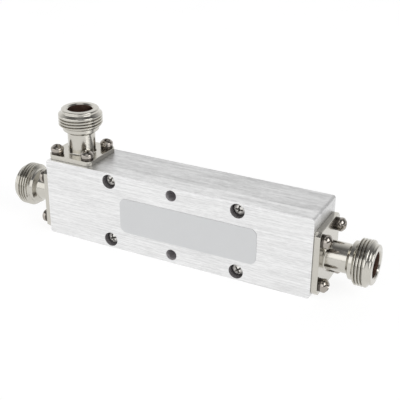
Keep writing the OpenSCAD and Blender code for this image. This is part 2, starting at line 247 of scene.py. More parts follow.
def start_fresh():
    """Leaves edit mode and deselects everything, so the next operator acts on one piece alone."""
    if bpy.context.mode != "OBJECT":
        bpy.ops.object.mode_set(mode="OBJECT")
    bpy.ops.object.select_all(action="DESELECT")


def only(piece):
    """Selects one piece and makes it active."""
    start_fresh()
    piece.select_set(True)
    bpy.context.view_layer.objects.active = piece
    return piece


def block(low, high):
    """A box between two corners."""
    start_fresh()
    low, high = Vector(low), Vector(high)
    bpy.ops.mesh.primitive_cube_add(size=1, location=(low + high) / 2, scale=high - low)
    bpy.ops.object.transform_apply(location=True, rotation=True, scale=True)
    return bpy.context.object


def rod(radius, start, direction, sides):
    """A cylinder from a point along a direction vector."""
    start_fresh()
    start, direction = Vector(start), Vector(direction)
    turn = UP.rotation_difference(direction).to_euler()
    bpy.ops.mesh.primitive_cylinder_add(
        vertices=sides, radius=radius, depth=direction.length, location=start + direction / 2, rotation=turn
    )
    bpy.ops.object.transform_apply(location=True, rotation=True, scale=True)
    return bpy.context.object


def apply_modifier(piece, kind, **settings):
    """Adds one modifier with its settings and applies it."""
    only(piece)
    modifier = piece.modifiers.new(kind, kind)
    for key, value in settings.items():
        setattr(modifier, key, value)
    bpy.ops.object.modifier_apply(modifier=modifier.name)
    return piece


def combine(piece, tool, operation):
    """Cuts a tool out of a piece, welds it on or keeps what both share, and removes the tool."""
    apply_modifier(piece, "BOOLEAN", operation=operation, solver="EXACT", object=tool)
    bpy.data.objects.remove(tool)
    return piece


def drill(piece, radius, starts, direction, sides=HOLE_SIDES):
    """Cuts one hole at each start point."""
    for start in starts:
        combine(piece, rod(radius, start, direction, sides), "DIFFERENCE")
    return piece


def break_edges(piece, width, sharp=40):
    """Rounds the edges that turn by more than an angle in degrees, as a deburring cut does."""
    return apply_modifier(
        piece, "BEVEL", width=width, segments=2,
        limit_method="ANGLE", angle_limit=math.radians(sharp),
    )


def select_edges(piece, test):
    """Enters edit mode with the edges selected whose two ends pass the test."""
    only(piece)
    bpy.ops.object.mode_set(mode="EDIT")
    bpy.ops.mesh.select_mode(type="EDGE")
    bpy.ops.mesh.select_all(action="DESELECT")
    mesh = bmesh.from_edit_mesh(piece.data)
    for edge in mesh.edges:
        if test(edge.verts[0].co, edge.verts[1].co):
            edge.select_set(True)
    bmesh.update_edit_mesh(piece.data)


def line_holes(piece, material, starts, direction, radius):
    """Gives the walls and floors of holes along one direction a finish of their own."""
    only(piece)
    piece.data.materials.append(material)
    piece.active_material_index = len(piece.data.materials) - 1
    bpy.ops.object.mode_set(mode="EDIT")
    bpy.ops.mesh.select_mode(type="FACE")
    bpy.ops.mesh.select_all(action="DESELECT")
    mesh = bmesh.from_edit_mesh(piece.data)
    along = Vector(direction).normalized()
    reach = radius + MERGE_DISTANCE
    for face in mesh.faces:
        for start in starts:
            if all((v.co - start).cross(along).length < reach for v in face.verts):
                face.select_set(True)
    bmesh.update_edit_mesh(piece.data)
    bpy.ops.object.material_slot_assign()
    bpy.ops.object.mode_set(mode="OBJECT")


def round_edges_along(piece, axis, width, segments):
    """Bevels the edges that run along one axis, given by its number."""

    def runs_along(a, b):
        return max(abs(a[i] - b[i]) for i in range(3) if i != axis) < MERGE_DISTANCE

    select_edges(piece, runs_along)
    bpy.ops.mesh.bevel(offset=width, offset_type="OFFSET", segments=segments, affect="EDGES")
    bpy.ops.object.mode_set(mode="OBJECT")
    return piece


def close_and_point_out(piece):
    """Merges doubles, closes small open ends and turns the faces outwards."""
    only(piece)
    bpy.ops.object.mode_set(mode="EDIT")
    bpy.ops.mesh.select_all(action="SELECT")
    bpy.ops.mesh.remove_doubles(threshold=MERGE_DISTANCE)
    bpy.ops.mesh.fill_holes(sides=4)
    bpy.ops.mesh.select_all(action="SELECT")
    bpy.ops.mesh.normals_make_consistent(inside=False)
    bpy.ops.object.mode_set(mode="OBJECT")
    return piece


def outline(points, closed=False):
    """An outline of (radius, height) points in the XZ plane, extruded from one vertex."""
    start_fresh()
    bpy.ops.mesh.primitive_plane_add(size=MM)
    bpy.ops.object.mode_set(mode="EDIT")
    bpy.ops.mesh.select_mode(type="VERT")
    bpy.ops.mesh.select_all(action="SELECT")
    bpy.ops.mesh.merge(type="CENTER")
    here = Vector((0, 0, 0))
    for i, (radius, height) in enumerate(points):
        step = Vector((radius, 0, height)) - here
        if i == 0:
            bpy.ops.transform.translate(value=step)
        else:
            bpy.ops.mesh.extrude_vertices_move(TRANSFORM_OT_translate={"value": step})
        here += step
    bpy.ops.mesh.select_all(action="SELECT")
    piece = bpy.context.object
    if closed:
        mesh = bmesh.from_edit_mesh(piece.data)
        ends = [vertex for vertex in mesh.verts if len(vertex.link_edges) == 1]
        mesh.edges.new(ends).select_set(True)
        bmesh.update_edit_mesh(piece.data)
    return piece


def turned(points, sides):
    """A solid turned about Z from an outline that starts and ends on the axis."""
    piece = outline(points)
    bpy.ops.mesh.spin(steps=sides, angle=2 * math.pi, center=(0, 0, 0), axis=UP)
    return close_and_point_out(piece)


def arc(centre, radius, start, end, steps):
    """Points on an arc in the outline's plane, angles in degrees from the radius direction."""
    angles = [math.radians(start + (end - start) * i / steps) for i in range(steps + 1)]
    return [(centre[0] + radius * math.cos(a), centre[1] + radius * math.sin(a)) for a in angles]


def rounded(corners, steps=5):
    """Points of an outline given by (radius, height, rounding) for each of its corners.

    The slerp of two arms of the arc is a unit vector, so it is scaled back by the rounding.
    """
    points = []
    for i, (radius, height, rounding) in enumerate(corners):
        here = Vector((radius, height))
        if rounding == 0:
            points.append(here)
            continue
        back = (Vector(corners[i - 1][:2]) - here).normalized()
        ahead = (Vector(corners[i + 1][:2]) - here).normalized()
        half = back.angle(ahead) / 2
        middle = here + (back + ahead).normalized() * rounding / math.sin(half)
        reach = rounding / math.tan(half)
        start, end = here + back * reach - middle, here + ahead * reach - middle
        points += [middle + start.slerp(end, j / steps) * rounding for j in range(steps + 1)]
    return points


def copy_to(piece, matrix):
    """A copy with its own mesh, placed by a matrix that is applied to the mesh."""
    only(piece)
    bpy.ops.object.duplicate(linked=False)
    return move_to(bpy.context.object, matrix)


def move_to(piece, matrix):
    """Moves a piece by a matrix that is applied to its mesh."""
    only(piece)
    piece.matrix_world = matrix
    bpy.ops.object.transform_apply(location=True, rotation=True, scale=True)
    return piece


def join(pieces):
    """Joins several pieces into one object."""
    only(pieces[0])
    for piece in pieces[1:]:
        piece.select_set(True)
    bpy.ops.object.join()
    return bpy.context.object


def hand_over(piece, name, material, slot, *replaced):
    """Names a finished piece, gives it its finish and lets it ride in place of its solids."""
    only(piece)
    bpy.ops.object.shade_smooth_by_angle(angle=SMOOTH_ANGLE)
    apply_modifier(piece, "WEIGHTED_NORMAL", keep_sharp=True)
    piece.name = name
    piece.data.name = name
    piece.data.materials.clear()
    piece.data.materials.append(material)
    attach(piece, BODY)
    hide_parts(*replaced)


def finish_nodes(material, *names):
    """Gives solids that show as they are their finish."""
    for name in names:
        for place in frame["nodes"][name].material_slots:
            place.material = material


# Places that the frame gives


def port_matrix(port):
    """The port's own frame: Z along the socket from the body's face, Y along the body's depth."""
    mount = MOUNTS[port + "_thread"]
    axis = Vector(mount["axis"])
    point = Vector(mount["pos_m"])
    face = min(corner.dot(axis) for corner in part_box(port + "_shell"))
    base = point + axis * (face - point.dot(axis))
    turn = Matrix((BACK.cross(axis), BACK, axis)).transposed().to_4x4()
    return Matrix.Translation(base) @ turn


def local_box(node, matrix):
    """A node's lowest and highest corner in a port's own frame."""
    inverse = matrix.inverted()
    corners = [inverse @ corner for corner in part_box(node)]
    return Vector(map(min, *corners)), Vector(map(max, *corners))


def flange_face_and_rim(port):
    """The heights of a port's flange face, where the washers lie, and of its rim above the body."""
    matrix = port_matrix(port)
    return local_box(port + "_lock_washers", matrix)[0].z, local_box(port + "_shell", matrix)[1].z


def flange_screw_places(port, head_radius):
    """The four screw places on a port's flange, in the port's own frame."""
    low, high = local_box(port + "_flange_screws", port_matrix(port))
    xs = (low.x + head_radius, high.x - head_radius)
    ys = (low.y + head_radius, high.y - head_radius)
    return [Vector((x, y, 0)) for x in xs for y in ys]


def cover_screw_places(head_radius):
    """The four screw places on the cover's face."""
    low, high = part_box("cover_screws")
    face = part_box("front_cover")[0].y
    xs = (low.x + head_radius, high.x - head_radius)
    zs = (low.z + head_radius, high.z - head_radius)
    return [Vector((x, face, z)) for x in xs for z in zs]


def mount_hole_places():
    """The middles of the two mounting holes and their radius."""
    mount = MOUNTS["mounting_holes"]
    half = mount["dims"]["spacing_y_mm"] * MM / 2
    middle = Vector(mount["pos_m"])
    return [middle - UP * half, middle + UP * half], mount["dims"]["hole_r_mm"] * MM


# Finishes


def add_node(tree, kind, inputs=None, **settings):
    """Adds one node, sets its options, and sets or links its inputs."""
    node = tree.nodes.new(kind)
    for key, value in settings.items():
        setattr(node, key, value)
    for key, value in (inputs or {}).items():
        if isinstance(value, bpy.types.NodeSocket):
            tree.links.new(value, node.inputs[key])
        else:
            node.inputs[key].default_value = value
    return node


def shared(make):
    """The finish that a function makes, made once and named after it."""
    return bpy.data.materials.get(make.__name__) or make(make.__name__)


def start_finish(name):
    """A new material with an empty tree, and its Object coordinates."""
    material = bpy.data.materials.new(name)
    material.use_nodes = True
    material.node_tree.nodes.clear()
    place = add_node(material.node_tree, "ShaderNodeTexCoord").outputs["Object"]
    return material, material.node_tree, place


def end_finish(tree, **inputs):
    """Closes a finish with its shader, whose inputs are named with underscores."""
    named = {key.replace("_", " "): value for key, value in inputs.items()}
    shader = add_node(tree, "ShaderNodeBsdfPrincipled", named)
    add_node(tree, "ShaderNodeOutputMaterial", {"Surface": shader.outputs["BSDF"]})


def toned(value, factor):
    """A linear colour made lighter or darker, with full alpha."""
    return (*[min(1.0, v * factor) for v in value], 1.0)


def brushed(name, tone):
    """Aluminium brushed along X: short fine streaks over longer ones, and a soft, wide gloss."""
    material, tree, place = start_finish(name)
    # The real scratches are finer than a pixel, so they are drawn several times too wide, and
    # two to three times as wide again over the depth, which shows foreshortened on the top face
    scratch = Vector((2.0, 0.7, 0.28)) * MM
    streak = Vector((14.0, 1.1, 0.38)) * MM
    dark, light = 0.84, 1.12
    scratches = add_node(
        tree, "ShaderNodeMapping", {"Vector": place, "Scale": [1 / size for size in scratch]}
    )
    fine = add_node(
        tree, "ShaderNodeTexNoise",
        {"Vector": scratches.outputs["Vector"], "Scale": 1.0, "Detail": 3.0, "Roughness": 0.65},
    )
    streaks = add_node(
        tree, "ShaderNodeMapping",
        {"Vector": place, "Scale": [1 / size for size in streak], "Location": (3.1, 7.7, 1.3)},
    )
    coarse = add_node(
        tree, "ShaderNodeTexNoise",
        {"Vector": streaks.outputs["Vector"], "Scale": 1.0, "Detail": 2.0, "Roughness": 0.5},
    )
    grain = add_node(
        tree, "ShaderNodeMath", {0: fine.outputs["Fac"], 1: coarse.outputs["Fac"]}, operation="ADD"
    )
    spread = add_node(
        tree, "ShaderNodeMapRange", {"Value": grain.outputs["Value"], "From Min": 0.7, "From Max": 1.3}
    )
    tint = add_node(
        tree, "ShaderNodeMix",
        {"Factor": spread.outputs["Result"], MIX_A: toned(tone, dark), MIX_B: toned(tone, light)},
        data_type="RGBA",
    )
    roughness = add_node(
        tree, "ShaderNodeMapRange", {"Value": spread.outputs["Result"], "To Min": 0.46, "To Max": 0.36}
    )
    bump = add_node(
        tree, "ShaderNodeBump",
        {"Height": spread.outputs["Result"], "Strength": 0.3, "Distance": 0.02 * MM},
    )
    end_finish(
        tree, Base_Color=tint.outputs[MIX_RESULT], Metallic=1.0,
        Roughness=roughness.outputs["Result"], Normal=bump.outputs["Normal"],
    )
    return material


def brushed_housing(name):
    """Brushed aluminium of the housing, a little greyer than the cover."""
    return brushed(name, bpy.context.scene.coupler_body.housing)


def brushed_cover(name):
    """Brushed aluminium of the cover, pale and even."""
    return brushed(name, bpy.context.scene.coupler_body.cover)


def plated(name, tone, rough, mottle, ripple, corner_shade=0.0):
    """A plated metal: a bright skin with faint clouds, polishing ripples and painted shade in its corners.
    """
    material, tree, place = start_finish(name)
    cloud_size = 3 * MM
    ripple_size = 0.6 * MM
    corner_size = 0.9 * MM
    cloud = add_node(
        tree, "ShaderNodeTexNoise",
        {"Vector": place, "Scale": 1 / cloud_size, "Detail": 4.0, "Roughness": 0.6},
    )
    polish = add_node(
        tree, "ShaderNodeTexNoise",
        {"Vector": place, "Scale": 1 / ripple_size, "Detail": 2.0, "Roughness": 0.5},
    )
    tint = add_node(
        tree, "ShaderNodeMix",
        {
            "Factor": cloud.outputs["Fac"],
            MIX_A: toned(tone, 1 - mottle), MIX_B: toned(tone, 1 + mottle),
        },
        data_type="RGBA",
    )
    # Painted shade: where ambient occlusion finds nearby surfaces, the colour is darkened towards a dark
    # brown, as far as the last argument allows
    corners = add_node(tree, "ShaderNodeAmbientOcclusion", {"Distance": corner_size}, samples=8)
    shade_mask = add_node(
        tree, "ShaderNodeMapRange",
        {
            "Value": corners.outputs["AO"], "From Min": 0.2, "From Max": 0.7,
            "To Min": corner_shade, "To Max": 0.0,
        },
    )
    shaded_tint = add_node(
        tree, "ShaderNodeMix",
        {
            "Factor": shade_mask.outputs["Result"],
            MIX_A: tint.outputs[MIX_RESULT], MIX_B: toned(linear(SHADE_COLOUR), 1.0),
        },
        data_type="RGBA",
    )
    roughness = add_node(
        tree, "ShaderNodeMapRange",
        {
            "Value": cloud.outputs["Fac"], "From Min": 0.3, "From Max": 0.7,
            "To Min": rough * 0.8, "To Max": rough * 1.25,
        },
    )
    bump = add_node(
        tree, "ShaderNodeBump",
        {"Height": polish.outputs["Fac"], "Strength": ripple, "Distance": 0.01 * MM},
    )
    end_finish(
        tree, Base_Color=shaded_tint.outputs[MIX_RESULT], Metallic=1.0,
        Roughness=roughness.outputs["Result"], Normal=bump.outputs["Normal"],
    )
    return material


def bright_nickel(name):
    """Bright nickel on turned brass: near-mirror reflections with a warm grey tint."""
    tone = bpy.context.scene.coupler_socket.nickel
    # The last argument lays painted shade in the thread grooves and corners
    return plated(name, tone, rough=0.18, mottle=0.04, ripple=0.05, corner_shade=0.5)


def dulled_nickel(name):
    """Nickel inside the sockets, dulled brown by plugs and with marks from boring."""
    tone = bpy.context.scene.coupler_socket.inside
    return plated(name, tone, rough=0.42, mottle=0.12, ripple=0.3)


def plated_steel(name):
    """Nickel-plated steel of small screws: bright, a little duller than the sockets."""
    tone = bpy.context.scene.coupler_fasteners.steel
    # The last argument lays painted shade in the cross recesses and corners
    return plated(name, tone, rough=0.13, mottle=0.06, ripple=0.08, corner_shade=0.95)


def zinc_plate(name):
    """Pale zinc on the cover screws: light grey with a soft gloss."""
    tone = bpy.context.scene.coupler_fasteners.zinc
    # The last argument lays painted shade in the cross recesses and corners
    return plated(name, tone, rough=0.6, mottle=0.05, ripple=0.1, corner_shade=0.95)


def spring_steel(name):
    """Oiled spring steel of the lock washers: dark, half-dull grey."""
    tone = bpy.context.scene.coupler_fasteners.spring_steel
    return plated(name, tone, rough=0.32, mottle=0.12, ripple=0.15)


def gold_plate(name):
    """Gold plating of the spring contacts: warm yellow and smooth."""
    tone = bpy.context.scene.coupler_socket.gold
    return plated(name, tone, rough=0.14, mottle=0.05, ripple=0.05)


def silver_plate(name):
    """Silver plating of the line bars: pale with a soft gloss."""
    tone = bpy.context.scene.coupler_line.silver
    return plated(name, tone, rough=0.24, mottle=0.05, ripple=0.12)


def smooth_solid(name, tone, rough, mottle, grain_size, grain_bump, ior, glow=0.0):
    """A non-metal of even colour with faint clouds and a fine grain, and a glow if lit from behind."""
    material, tree, place = start_finish(name)
    cloud_size = 6 * MM
    cloud = add_node(
        tree, "ShaderNodeTexNoise",
        {"Vector": place, "Scale": 1 / cloud_size, "Detail": 3.0, "Roughness": 0.55},
    )
    grain = add_node(
        tree, "ShaderNodeTexNoise",
        {"Vector": place, "Scale": 1 / grain_size, "Detail": 2.0, "Roughness": 0.6},
    )
    tint = add_node(
        tree, "ShaderNodeMix",
        {
            "Factor": cloud.outputs["Fac"],
            MIX_A: toned(tone, 1 - mottle), MIX_B: toned(tone, 1 + mottle),
        },
        data_type="RGBA",
    )
    roughness = add_node(
        tree, "ShaderNodeMapRange",
        {
            "Value": grain.outputs["Fac"], "From Min": 0.3, "From Max": 0.7,
            "To Min": rough * 0.9, "To Max": rough * 1.1,
        },
    )
    bump = add_node(
        tree, "ShaderNodeBump",
        {"Height": grain.outputs["Fac"], "Strength": grain_bump, "Distance": 0.01 * MM},
    )
    end_finish(
        tree, Base_Color=tint.outputs[MIX_RESULT], Roughness=roughness.outputs["Result"],
        IOR=ior, Normal=bump.outputs["Normal"], Emission_Color=(1, 1, 1, 1), Emission_Strength=glow,
    )
    return material


def satin_foil(name):
    """Polyester label film with a satin grey coat: even, cool and softly glossy."""
    tone = bpy.context.scene.coupler_label.foil
    return smooth_solid(
        name, tone, rough=0.42, mottle=0.015, grain_size=0.3 * MM, grain_bump=0.1, ior=1.57
    )


def painted_hole_shade(name):
    """Walls of the drilled holes: an even dull grey, roughened by the drill, as painted shade for the shade
    inside the holes.
    """
    tone = bpy.context.scene.coupler_body.drilled
    return smooth_solid(
        name, tone, rough=0.5, mottle=0.06, grain_size=0.3 * MM, grain_bump=0.3, ior=1.5
    )


def painted_counterbore_shade(name):
    """Walls of the counterbores: a darker dull grey, as painted shade for the shade round the sunk screws.
    """
    tone = bpy.context.scene.coupler_body.bored
    return smooth_solid(
        name, tone, rough=0.5, mottle=0.06, grain_size=0.3 * MM, grain_bump=0.3, ior=1.5
    )


def ptfe(name):
    """Turned PTFE: waxy white with a dull gloss."""
    tone = bpy.context.scene.coupler_socket.ptfe
    return smooth_solid(
        name, tone, rough=0.45, mottle=0.02, grain_size=0.4 * MM, grain_bump=0.15, ior=1.36
    )


def alumina(name):
    """Fired alumina of the resistor chip: matt, slightly grainy off-white."""
    tone = bpy.context.scene.coupler_line.alumina
    return smooth_solid(
        name, tone, rough=0.7, mottle=0.04, grain_size=0.15 * MM, grain_bump=0.3, ior=1.76
    )


def lit_acrylic(name):
    """Opal acrylic of a light table: an even white glow that leaves only a breath of shadow."""
    s = bpy.context.scene.coupler_stage
    return smooth_solid(
        name, s.acrylic, rough=0.9, mottle=0.005, grain_size=40 * MM, grain_bump=0.02, ior=1.49, glow=s.glow
    )


# Operators, one for each piece or group of like pieces


def drill_ports(piece, settings, head_radius):
    """Cuts the insulators' holes and the tapped holes of the three ports into a part of the body."""
    for port in PORTS:
        matrix = port_matrix(port)
        axis = matrix.to_3x3() @ UP
        base = matrix.translation + axis * CUT_EXTRA
        bush = CUT_EXTRA - local_box(port + "_insulator", matrix)[0].z + CUT_EXTRA
        drill(piece, settings.bush_radius, [base], -axis * bush)
        tap = CUT_EXTRA - local_box(port + "_flange_screws", matrix)[0].z + settings.tap_extra
        starts = [matrix @ place + axis * CUT_EXTRA for place in flange_screw_places(port, head_radius)]
        drill(piece, settings.tap_radius, starts, -axis * tap, TAP_SIDES)


class COUPLER_OT_rear_housing(bpy.types.Operator):
    """Models the milled rear housing with its pocket and holes"""

    bl_idname = "coupler.rear_housing"
    bl_label = "Rear Housing"

    def execute(self, context):
        s = context.scene.coupler_body
        head_radius = context.scene.coupler_fasteners.head_radius
        low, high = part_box("rear_housing")
        piece = round_edges_along(block(low, high), ALONG_DEPTH, s.corner_radius, CORNER_STEPS)
        pocket = block(
            (low.x + s.pocket_end_wall, low.y - CUT_EXTRA, low.z + s.pocket_rail),
            (high.x - s.pocket_end_wall, low.y + s.pocket_depth, high.z - s.pocket_rail),
        )
        round_edges_along(pocket, ALONG_DEPTH, s.pocket_radius, CORNER_STEPS)
        combine(piece, pocket, "DIFFERENCE")
        drill_ports(piece, s, head_radius)
        seam = low.y - CUT_EXTRA
        places, radius = mount_hole_places()
        drill(piece, radius, [(p.x, seam, p.z) for p in places], BACK * (high.y - seam + CUT_EXTRA))
        screw_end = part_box("cover_screws")[1].y + s.tap_extra
        starts = [(p.x, seam, p.z) for p in cover_screw_places(head_radius)]
        drill(piece, s.tap_radius, starts, BACK * (screw_end - seam), TAP_SIDES)
        load_low, load_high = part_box("load_screws")
        load_radius = (load_high.y - load_low.y) / 2
        ceiling = high.z - s.pocket_rail - CUT_EXTRA
        middle = (load_low.y + load_high.y) / 2
        starts = [(x, middle, ceiling) for x in (load_low.x + load_radius, load_high.x - load_radius)]
        drill(piece, s.load_tap_radius, starts, UP * (load_high.z + s.tap_extra - ceiling), TAP_SIDES)
        break_edges(piece, s.edge_break)
        hand_over(piece, "milled_housing", shared(brushed_housing), "body_aluminium", "rear_housing")
        # The mounting holes' walls get painted shade
        line_holes(piece, shared(painted_hole_shade), places, BACK, radius)
        return {"FINISHED"}


class COUPLER_OT_front_cover(bpy.types.Operator):
    """Models the front cover with its counterbores and mounting holes"""

    bl_idname = "coupler.front_cover"
    bl_label = "Front Cover"

    def execute(self, context):
        s = context.scene.coupler_body
        head_radius = context.scene.coupler_fasteners.head_radius
        low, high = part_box("front_cover")
        piece = round_edges_along(block(low, high), ALONG_DEPTH, s.corner_radius, CORNER_STEPS)
        drill_ports(piece, s, head_radius)
        face = low.y - CUT_EXTRA
        through = BACK * (high.y - face + CUT_EXTRA)
        screws = [(p.x, face, p.z) for p in cover_screw_places(head_radius)]
        drill(piece, s.counterbore_radius, screws, BACK * (s.counterbore_depth + CUT_EXTRA))
        drill(piece, s.clearance_radius, screws, through, TAP_SIDES)
        places, radius = mount_hole_places()
        drill(piece, radius, [(p.x, face, p.z) for p in places], through)
        break_edges(piece, s.edge_break)
        hand_over(piece, "milled_cover", shared(brushed_cover), "body_aluminium", "front_cover")
        # The mounting holes' walls get painted shade
        line_holes(piece, shared(painted_hole_shade), places, BACK, radius)
        # The counterbores' walls get painted shade
        sunk = cover_screw_places(head_radius)
        line_holes(piece, shared(painted_counterbore_shade), sunk, BACK, s.counterbore_radius)
        return {"FINISHED"}


class COUPLER_OT_label(bpy.types.Operator):
    """Models the bare label on the cover"""

    bl_idname = "coupler.label"
    bl_label = "Label"

    def execute(self, context):
        s = context.scene.coupler_label
        low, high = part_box("blank_label")
        foil = round_edges_along(block(low, high), ALONG_DEPTH, s.corner_radius, segments=8)
        break_edges(foil, s.edge_break)
        hand_over(foil, "label_film", shared(satin_foil), "label_foil", "blank_label")
        return {"FINISHED"}


def thread_ridge(s, thread_radius):
    """The helical ridge of the coupling thread, cut to the thread's ends and outside diameter."""
    root = thread_radius - s.thread_depth
    # Half widths of the ridge at its foot and at its crest
    foot = 0.44 * s.thread_pitch
    crest = 0.12 * s.thread_pitch
    # How far the ridge reaches into the barrel and past the cut, and the cut's distance from the slope
    sunk = 0.15 * MM
    proud = 0.05 * MM
    skin = 0.02 * MM
    turn_steps = 72
    front = s.thread_end - s.band_width / 2
    turns = math.ceil((s.thread_end - s.ring_end) / s.thread_pitch) + 1
    start = front - turns * s.thread_pitch
    ridge = outline(
        [
            (root - sunk, start - foot), (root, start - foot), (thread_radius + proud, start - crest),
            (thread_radius + proud, start + crest), (root, start + foot), (root - sunk, start + foot),
        ],
        closed=True,
    )
    bpy.ops.object.mode_set(mode="OBJECT")
    apply_modifier(
        ridge, "SCREW", axis="Z", angle=2 * math.pi, screw_offset=s.thread_pitch,
        iterations=turns, steps=turn_steps, render_steps=turn_steps, use_smooth_shade=False,
    )
    only(ridge)
    bpy.ops.object.mode_set(mode="EDIT")
    bpy.ops.mesh.select_all(action="SELECT")
    bpy.ops.mesh.fill_holes(sides=6)
    bpy.ops.object.mode_set(mode="OBJECT")
    close_and_point_out(ridge)
    envelope = turned(
        [
            (0, s.ring_end + skin), (s.ring_radius, s.ring_end + skin),
            (thread_radius, s.thread_start + skin), (thread_radius, front), (0, front),
        ],
        s.sides,
    )
    return combine(ridge, envelope, "INTERSECT")


def socket_barrel(s, thread_radius, rim):
    """The turned outside of a socket with its thread, from inside the flange to the rim."""
    root = thread_radius - s.thread_depth
    rise = (root - s.ring_radius) / (thread_radius - s.ring_radius)
    root_start = s.ring_end + rise * (s.thread_start - s.ring_end)
    band_start = s.thread_end - s.band_width
    base = s.neck_radius + s.base_fillet
    barrel = turned(
        rounded([
            (0, -CUT_EXTRA, 0),
            (base, -CUT_EXTRA, 0),
            (base, 0, 0),
            (s.neck_radius, 0, s.base_fillet),
            (s.neck_radius, s.neck_end, s.neck_fillet),
            (s.ring_radius, s.cone_end, s.ring_rounding),
            (s.ring_radius, s.ring_end, s.ring_rounding),
            (root, root_start, s.thread_rounding),
            (root, band_start - s.thread_depth / 2, s.thread_rounding),
            (thread_radius, band_start, s.thread_rounding),
            (thread_radius, s.thread_end, s.bevel_radius),
            (s.nose_radius, s.bevel_end, s.bevel_radius),
            (s.nose_radius, rim, s.rim_radius),
            (0, rim, 0),
        ]),
        s.sides,
    )
    return combine(barrel, thread_ridge(s, thread_radius), "UNION")


def socket_flange(s, port, head_radius):
    """A port's milled flange with its screw holes, in the port's own frame."""
    matrix = port_matrix(port)
    low, high = local_box(port + "_shell", matrix)
    top = flange_face_and_rim(port)[0]
    flange = block((low.x, low.y, 0), (high.x, high.y, top))
    round_edges_along(flange, ALONG_HEIGHT, s.flange_chamfer, segments=1)
    starts = [place - UP * CUT_EXTRA for place in flange_screw_places(port, head_radius)]
    drill(flange, s.hole_radius, starts, UP * (top + 2 * CUT_EXTRA), sides=40)
    return break_edges(flange, s.edge_break)


def socket_bore(s, rim):
    """What is bored out of a socket: the insulator's seat, the socket and its chamfered mouth."""
    floor = rim - s.socket_depth
    return turned(
        [
            (0, -CUT_EXTRA), (s.bead_radius, -CUT_EXTRA), (s.bead_radius, floor), (s.socket_radius, floor),
            (s.socket_radius, rim - s.mouth), (s.socket_radius + s.mouth + CUT_EXTRA, rim + CUT_EXTRA),
            (0, rim + CUT_EXTRA),
        ],
        s.sides,
    )


class COUPLER_OT_sockets(bpy.types.Operator):
    """Models the three plated sockets with their threads and flanges"""

    bl_idname = "coupler.sockets"
    bl_label = "Sockets"

    def execute(self, context):
        s = context.scene.coupler_socket
        head_radius = context.scene.coupler_fasteners.head_radius
        thread_radius = MOUNTS["coupled_thread"]["dims"]["r_mm"] * MM
        face, rim = flange_face_and_rim("coupled")
        barrel = socket_barrel(s, thread_radius, rim - face)
        for port in PORTS:
            face, rim = flange_face_and_rim(port)
            piece = copy_to(barrel, Matrix.Translation(UP * face))
            combine(piece, socket_flange(s, port, head_radius), "UNION")
            combine(piece, socket_bore(s, rim), "DIFFERENCE")
            matrix = port_matrix(port)
            axis = matrix.to_3x3() @ UP
            move_to(piece, matrix)
            hand_over(piece, port + "_socket", shared(bright_nickel), "shell_nickel", port + "_shell")
            line_holes(piece, shared(dulled_nickel), [matrix.translation], axis, s.socket_radius)
        bpy.data.objects.remove(barrel)
        return {"FINISHED"}


def turned_about_axis(degrees):
    """A turn about a piece's own Z axis."""
    return Matrix.Rotation(math.radians(degrees), 4, "Z")


def pan_head_screw(s, shank):
    """A pan-head screw with a cross recess, head up from Z = 0 and shank down."""
    dome_radius = (s.head_radius**2 + s.dome_rise**2) / (2 * s.dome_rise)
    centre = (0, s.head_height - dome_radius)
    edge = math.degrees(math.asin((s.head_height - s.dome_rise - centre[1]) / dome_radius))
    screw = turned(
        [
            *arc(centre, dome_radius, start=90, end=edge, steps=8),
            (s.head_radius, 0), (s.shank_radius, 0),
            (s.shank_radius, s.tip_chamfer - shank), (s.shank_radius - s.tip_chamfer, -shank), (0, -shank),
        ],
        SCREW_SIDES,
    )
    break_edges(screw, s.edge_break, sharp=35)
    for span in ((s.drive_span, s.drive_width), (s.drive_width, s.drive_span)):
        combine(screw, drive_wing(s, Vector(span)), "DIFFERENCE")
    return screw


def drive_wing(s, span):
    """One of the two crossed cuts of a screw's drive, as wide as its span at the head's top."""
    floor, top = s.head_height - s.drive_depth, s.head_height + s.drive_depth
    wing = block((-span.x / 2, -span.y / 2, floor), (span.x / 2, span.y / 2, top))
    for height, share in ((floor, s.drive_taper), (top, 2 - s.drive_taper)):
        select_edges(wing, lambda a, b: max(abs(a.z - height), abs(b.z - height)) < MERGE_DISTANCE)
        bpy.ops.transform.resize(value=(share, share, 1), center_override=(0, 0, height))
    bpy.ops.object.mode_set(mode="OBJECT")
    return wing


class COUPLER_OT_flange_screws(bpy.types.Operator):
    """Models the twelve screws that hold the sockets"""

    bl_idname = "coupler.flange_screws"
    bl_label = "Flange Screws"

    def execute(self, context):
        s = context.scene.coupler_fasteners
        for port in PORTS:
            matrix = port_matrix(port)
            low, high = local_box(port + "_flange_screws", matrix)
            seat = high.z - s.head_height
            screw = pan_head_screw(s, seat - low.z)
            places = flange_screw_places(port, s.head_radius)
            copies = [
                copy_to(screw, matrix @ Matrix.Translation(place + UP * seat) @ turned_about_axis(turn))
                for place, turn in zip(places, FLANGE_SCREW_TURNS)
            ]
            bpy.data.objects.remove(screw)
            piece = join(copies)
            replaced = port + "_flange_screws"
            hand_over(piece, port + "_pan_screws", shared(plated_steel), "screw_nickel", replaced)
        return {"FINISHED"}


class COUPLER_OT_cover_screws(bpy.types.Operator):
    """Models the four screws that hold the cover"""

    bl_idname = "coupler.cover_screws"
    bl_label = "Cover Screws"

    def execute(self, context):
        s = context.scene.coupler_fasteners
        low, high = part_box("cover_screws")
        screw = pan_head_screw(s, high.y - low.y - s.head_height)
        out = Matrix.Rotation(math.radians(90), 4, "X")
        copies = []
        for place, turn in zip(cover_screw_places(s.head_radius), COVER_SCREW_TURNS):
            seat = Vector((place.x, low.y + s.head_height, place.z))
            copies.append(copy_to(screw, Matrix.Translation(seat) @ out @ turned_about_axis(turn)))
        bpy.data.objects.remove(screw)
        hand_over(join(copies), "sunk_screws", shared(zinc_plate), "screw_nickel", "cover_screws")
        return {"FINISHED"}


